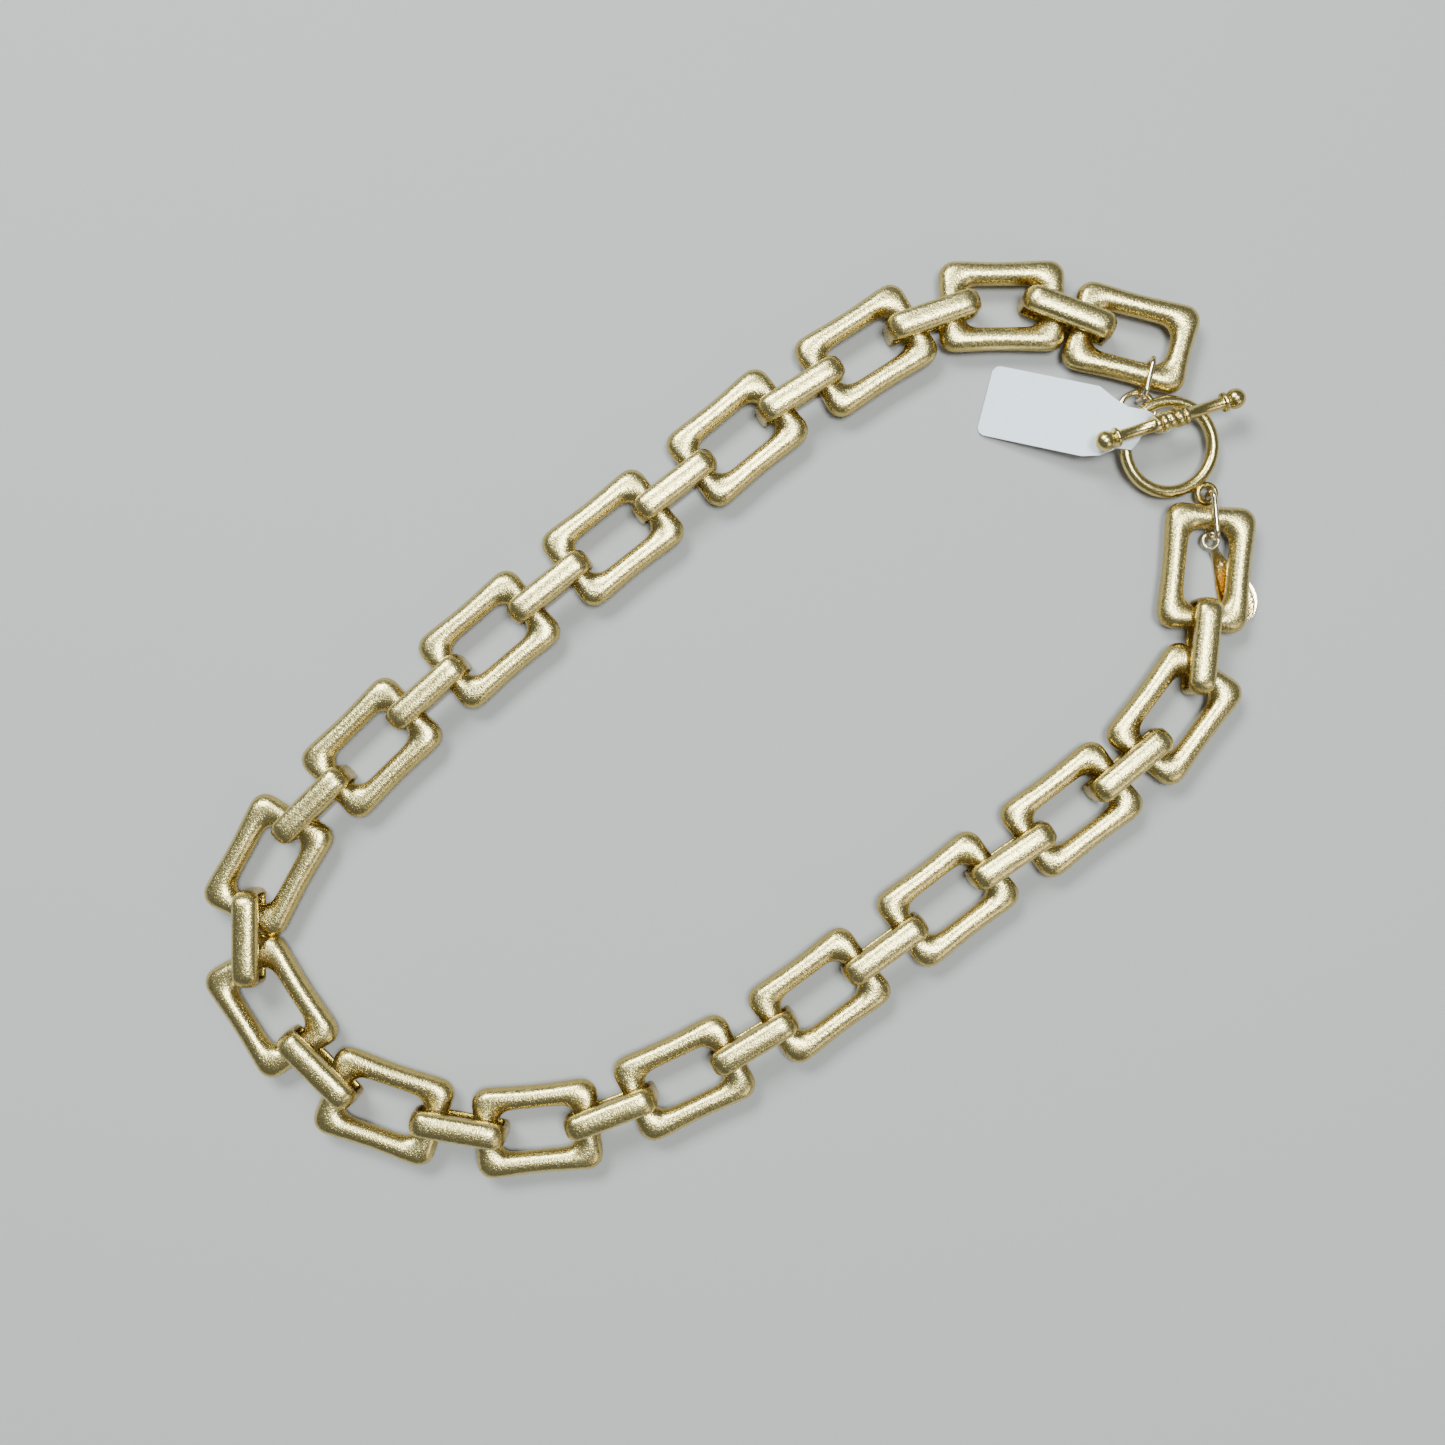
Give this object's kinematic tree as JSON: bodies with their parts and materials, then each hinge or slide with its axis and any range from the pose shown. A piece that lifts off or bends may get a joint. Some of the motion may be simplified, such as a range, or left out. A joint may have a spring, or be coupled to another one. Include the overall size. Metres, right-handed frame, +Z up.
{
  "type": "chain necklace",
  "caption": "Chain necklace of open rectangular links joined by strap-and-bar connectors, closed by a toggle bar and ring clasp, with a small leaf charm and a blank paper tag.",
  "frame": {"origin": "centre of the footprint on the table, at the table's surface", "axes": "+X along the longest extent of the closed loop, +Y across it toward the clasp end's upper strand, +Z up from the table"},
  "size_m": [0.1692, 0.1472, 0.0093],
  "materials": {
    "worn_gold_link": "satin, worn pale gold plating",
    "worn_gold_connector": "satin, worn pale gold plating",
    "worn_gold_clasp": "semi-polished, worn pale gold plating",
    "worn_gold_charm": "polished top, textured lower part",
    "bright_gold_wire": "polished",
    "white_paper": "smooth coated paper"
  },
  "bodies": {
    "link_01": {"link_01": "worn_gold_link"},
    "link_02": {"link_02": "worn_gold_link"},
    "link_03": {"link_03": "worn_gold_link"},
    "link_04": {"link_04": "worn_gold_link"},
    "link_05": {"link_05": "worn_gold_link"},
    "link_06": {"link_06": "worn_gold_link"},
    "link_07": {"link_07": "worn_gold_link"},
    "link_08": {"link_08": "worn_gold_link"},
    "link_09": {"link_09": "worn_gold_link"},
    "link_10": {"link_10": "worn_gold_link"},
    "link_11": {"link_11": "worn_gold_link"},
    "link_12": {"link_12": "worn_gold_link"},
    "link_13": {"link_13": "worn_gold_link"},
    "link_14": {"link_14": "worn_gold_link"},
    "link_15": {"link_15": "worn_gold_link"},
    "link_16": {"link_16": "worn_gold_link"},
    "link_17": {"link_17": "worn_gold_link"},
    "connector_01_02": {"connector_01_02": "worn_gold_connector"},
    "connector_02_03": {"connector_02_03": "worn_gold_connector"},
    "connector_03_04": {"connector_03_04": "worn_gold_connector"},
    "connector_04_05": {"connector_04_05": "worn_gold_connector"},
    "connector_05_06": {"connector_05_06": "worn_gold_connector"},
    "connector_06_07": {"connector_06_07": "worn_gold_connector"},
    "connector_07_08": {"connector_07_08": "worn_gold_connector"},
    "connector_08_09": {"connector_08_09": "worn_gold_connector"},
    "connector_09_10": {"connector_09_10": "worn_gold_connector"},
    "connector_10_11": {"connector_10_11": "worn_gold_connector"},
    "connector_11_12": {"connector_11_12": "worn_gold_connector"},
    "connector_12_13": {"connector_12_13": "worn_gold_connector"},
    "connector_13_14": {"connector_13_14": "worn_gold_connector"},
    "connector_14_15": {"connector_14_15": "worn_gold_connector"},
    "connector_15_16": {"connector_15_16": "worn_gold_connector"},
    "connector_16_17": {"connector_16_17": "worn_gold_connector"},
    "toggle_ring": {"toggle_ring": "worn_gold_clasp"},
    "toggle_bar": {"toggle_bar": "worn_gold_clasp"},
    "large_jump_ring": {"large_jump_ring": "bright_gold_wire"},
    "small_jump_ring": {"small_jump_ring": "bright_gold_wire"},
    "clasp_jump_ring": {"clasp_jump_ring": "bright_gold_wire"},
    "leaf_charm": {"leaf_charm": "worn_gold_charm"},
    "paper_tag": {"paper_tag": "white_paper"}
  },
  "joints": [
    {"name": "swivel_09_08_09", "type": "hinge", "parent": "link_09", "child": "connector_08_09", "pos_m": [-0.0771, -0.0382, 0.0028], "axis": [0, 0, 1], "range_deg": [0, 36]},
    {"name": "swivel_08_09_08", "type": "hinge", "parent": "connector_08_09", "child": "link_08", "pos_m": [-0.0772, -0.0313, 0.0028], "axis": [0, 0, 1], "range_deg": [0, 33]},
    {"name": "swivel_08_07_08", "type": "hinge", "parent": "link_08", "child": "connector_07_08", "pos_m": [-0.0699, -0.0166, 0.0028], "axis": [0, 0, 1], "range_deg": [0, 24]},
    {"name": "fold_07_08_07", "type": "hinge", "parent": "connector_07_08", "child": "link_07", "pos_m": [-0.0637, -0.0103, 0.0028], "axis": [-0.7016, 0.7126, 0], "range_deg": [-60, 60]},
    {"name": "fold_07_06_07", "type": "hinge", "parent": "link_07", "child": "connector_06_07", "pos_m": [-0.0521, 0.0012, 0.0028], "axis": [0.7016, -0.7126, 0], "range_deg": [-60, 60]},
    {"name": "fold_06_07_06", "type": "hinge", "parent": "connector_06_07", "child": "link_06", "pos_m": [-0.0452, 0.0074, 0.0028], "axis": [-0.6502, 0.7598, 0], "range_deg": [-60, 60]},
    {"name": "fold_06_05_06", "type": "hinge", "parent": "link_06", "child": "connector_05_06", "pos_m": [-0.0329, 0.0181, 0.0028], "axis": [0.6502, -0.7598, 0], "range_deg": [-60, 60]},
    {"name": "fold_05_06_05", "type": "hinge", "parent": "connector_05_06", "child": "link_05", "pos_m": [-0.0257, 0.0239, 0.0028], "axis": [-0.6232, 0.782, 0], "range_deg": [-60, 60]},
    {"name": "fold_05_04_05", "type": "hinge", "parent": "link_05", "child": "connector_04_05", "pos_m": [-0.0129, 0.0343, 0.0028], "axis": [0.6232, -0.782, 0], "range_deg": [-60, 60]},
    {"name": "fold_04_05_04", "type": "hinge", "parent": "connector_04_05", "child": "link_04", "pos_m": [-0.0057, 0.0399, 0.0028], "axis": [-0.6368, 0.771, 0], "range_deg": [-60, 60]},
    {"name": "fold_04_03_04", "type": "hinge", "parent": "link_04", "child": "connector_03_04", "pos_m": [0.0071, 0.0501, 0.0028], "axis": [0.6368, -0.771, 0], "range_deg": [-30, 30]},
    {"name": "fold_03_04_03", "type": "hinge", "parent": "connector_03_04", "child": "link_03", "pos_m": [0.0143, 0.0546, 0.0028], "axis": [-0.5381, 0.8429, 0], "range_deg": [-60, 0]},
    {"name": "swivel_03_02_03", "type": "hinge", "parent": "link_03", "child": "connector_02_03", "pos_m": [0.0285, 0.063, 0.0028], "axis": [0, 0, 1], "range_deg": [-0.5, 1]},
    {"name": "swivel_02_03_02", "type": "hinge", "parent": "connector_02_03", "child": "link_02", "pos_m": [0.0348, 0.0651, 0.0028], "axis": [0, 0, 1], "range_deg": [-1, 1]},
    {"name": "swivel_02_01_02", "type": "hinge", "parent": "link_02", "child": "connector_01_02", "pos_m": [0.0512, 0.0653, 0.0028], "axis": [0, 0, 1], "range_deg": [-1, 1]},
    {"name": "fold_01_02_01", "type": "hinge", "parent": "connector_01_02", "child": "link_01", "pos_m": [0.0558, 0.0635, 0.0028], "axis": [0.2495, 0.9684, 0], "range_deg": [-96, 0]},
    {"name": "swivel_09_09_10", "type": "hinge", "parent": "link_09", "child": "connector_09_10", "pos_m": [-0.069, -0.0525, 0.0028], "axis": [0, 0, -1], "range_deg": [0, 21]},
    {"name": "swivel_09_10_10", "type": "hinge", "parent": "connector_09_10", "child": "link_10", "pos_m": [-0.0633, -0.0582, 0.0028], "axis": [0, 0, -1], "range_deg": [0, 30]},
    {"name": "fold_10_10_11", "type": "hinge", "parent": "link_10", "child": "connector_10_11", "pos_m": [-0.0481, -0.0642, 0.0028], "axis": [0.3317, 0.9434, 0], "range_deg": [-30, 30]},
    {"name": "swivel_10_11_11", "type": "hinge", "parent": "connector_10_11", "child": "link_11", "pos_m": [-0.0397, -0.0657, 0.0028], "axis": [0, 0, -1], "range_deg": [0, 23]},
    {"name": "swivel_11_11_12", "type": "hinge", "parent": "link_11", "child": "connector_11_12", "pos_m": [-0.0233, -0.064, 0.0028], "axis": [0, 0, -1], "range_deg": [0, 24]},
    {"name": "fold_11_12_12", "type": "hinge", "parent": "connector_11_12", "child": "link_12", "pos_m": [-0.0153, -0.0609, 0.0028], "axis": [0.4325, -0.9016, 0], "range_deg": [-60, 60]},
    {"name": "fold_12_12_13", "type": "hinge", "parent": "link_12", "child": "connector_12_13", "pos_m": [-0.0006, -0.0536, 0.0028], "axis": [-0.4325, 0.9016, 0], "range_deg": [-60, 60]},
    {"name": "fold_12_13_13", "type": "hinge", "parent": "connector_12_13", "child": "link_13", "pos_m": [0.0071, -0.049, 0.0028], "axis": [0.5966, -0.8025, 0], "range_deg": [-60, 60]},
    {"name": "fold_13_13_14", "type": "hinge", "parent": "link_13", "child": "connector_13_14", "pos_m": [0.0203, -0.0393, 0.0028], "axis": [-0.5966, 0.8025, 0], "range_deg": [-60, 60]},
    {"name": "fold_13_14_14", "type": "hinge", "parent": "connector_13_14", "child": "link_14", "pos_m": [0.0278, -0.0339, 0.0028], "axis": [0.6105, -0.792, 0], "range_deg": [-60, 60]},
    {"name": "fold_14_14_15", "type": "hinge", "parent": "link_14", "child": "connector_14_15", "pos_m": [0.0409, -0.0239, 0.0028], "axis": [-0.6105, 0.792, 0], "range_deg": [-60, 60]},
    {"name": "fold_14_15_15", "type": "hinge", "parent": "connector_14_15", "child": "link_15", "pos_m": [0.0476, -0.0194, 0.0028], "axis": [0.6105, -0.792, 0], "range_deg": [-60, 60]},
    {"name": "fold_15_15_16", "type": "hinge", "parent": "link_15", "child": "connector_15_16", "pos_m": [0.0606, -0.0093, 0.0028], "axis": [-0.6105, 0.792, 0], "range_deg": [0, 60]},
    {"name": "swivel_15_16_16", "type": "hinge", "parent": "connector_15_16", "child": "link_16", "pos_m": [0.0653, -0.0054, 0.0028], "axis": [0, 0, -1], "range_deg": [-0.5, 0.5]},
    {"name": "swivel_16_16_17", "type": "hinge", "parent": "link_16", "child": "connector_16_17", "pos_m": [0.0743, 0.0084, 0.0028], "axis": [0, 0, -1], "range_deg": [-1, 1]},
    {"name": "swivel_16_17_17", "type": "hinge", "parent": "connector_16_17", "child": "link_17", "pos_m": [0.0751, 0.0161, 0.0028], "axis": [0, 0, -1], "range_deg": [-1, 1]},
    {"name": "large_ring_turn", "type": "hinge", "parent": "link_01", "child": "large_jump_ring", "pos_m": [0.0662, 0.055, 0.0029], "axis": [0, 0, 1], "range_deg": [-2, 3]},
    {"name": "small_ring_turn", "type": "hinge", "parent": "large_jump_ring", "child": "small_jump_ring", "pos_m": [0.0656, 0.0524, 0.0023], "axis": [0, 0, 1], "range_deg": [-2, 6]},
    {"name": "toggle_bar_turn", "type": "hinge", "parent": "small_jump_ring", "child": "toggle_bar", "pos_m": [0.069, 0.0473, 0.004], "axis": [0, 0, 1], "range_deg": [-2, 5]},
    {"name": "tag_turn", "type": "hinge", "parent": "toggle_bar", "child": "paper_tag", "pos_m": [0.0688, 0.0472, 0.0039], "axis": [0, 0, 1], "range_deg": [-2, 5]},
    {"name": "clasp_ring_turn", "type": "hinge", "parent": "link_17", "child": "clasp_jump_ring", "pos_m": [0.0766, 0.0324, 0.0029], "axis": [0, 0, 1], "range_deg": [-3, 5]},
    {"name": "toggle_ring_turn", "type": "hinge", "parent": "clasp_jump_ring", "child": "toggle_ring", "pos_m": [0.0769, 0.0361, 0.002], "axis": [0, 0, 1], "range_deg": [-2, 6]},
    {"name": "charm_turn", "type": "hinge", "parent": "clasp_jump_ring", "child": "leaf_charm", "pos_m": [0.0766, 0.0294, 0.0016], "axis": [0, 0, 1], "range_deg": [-6, 6]}
  ]
}
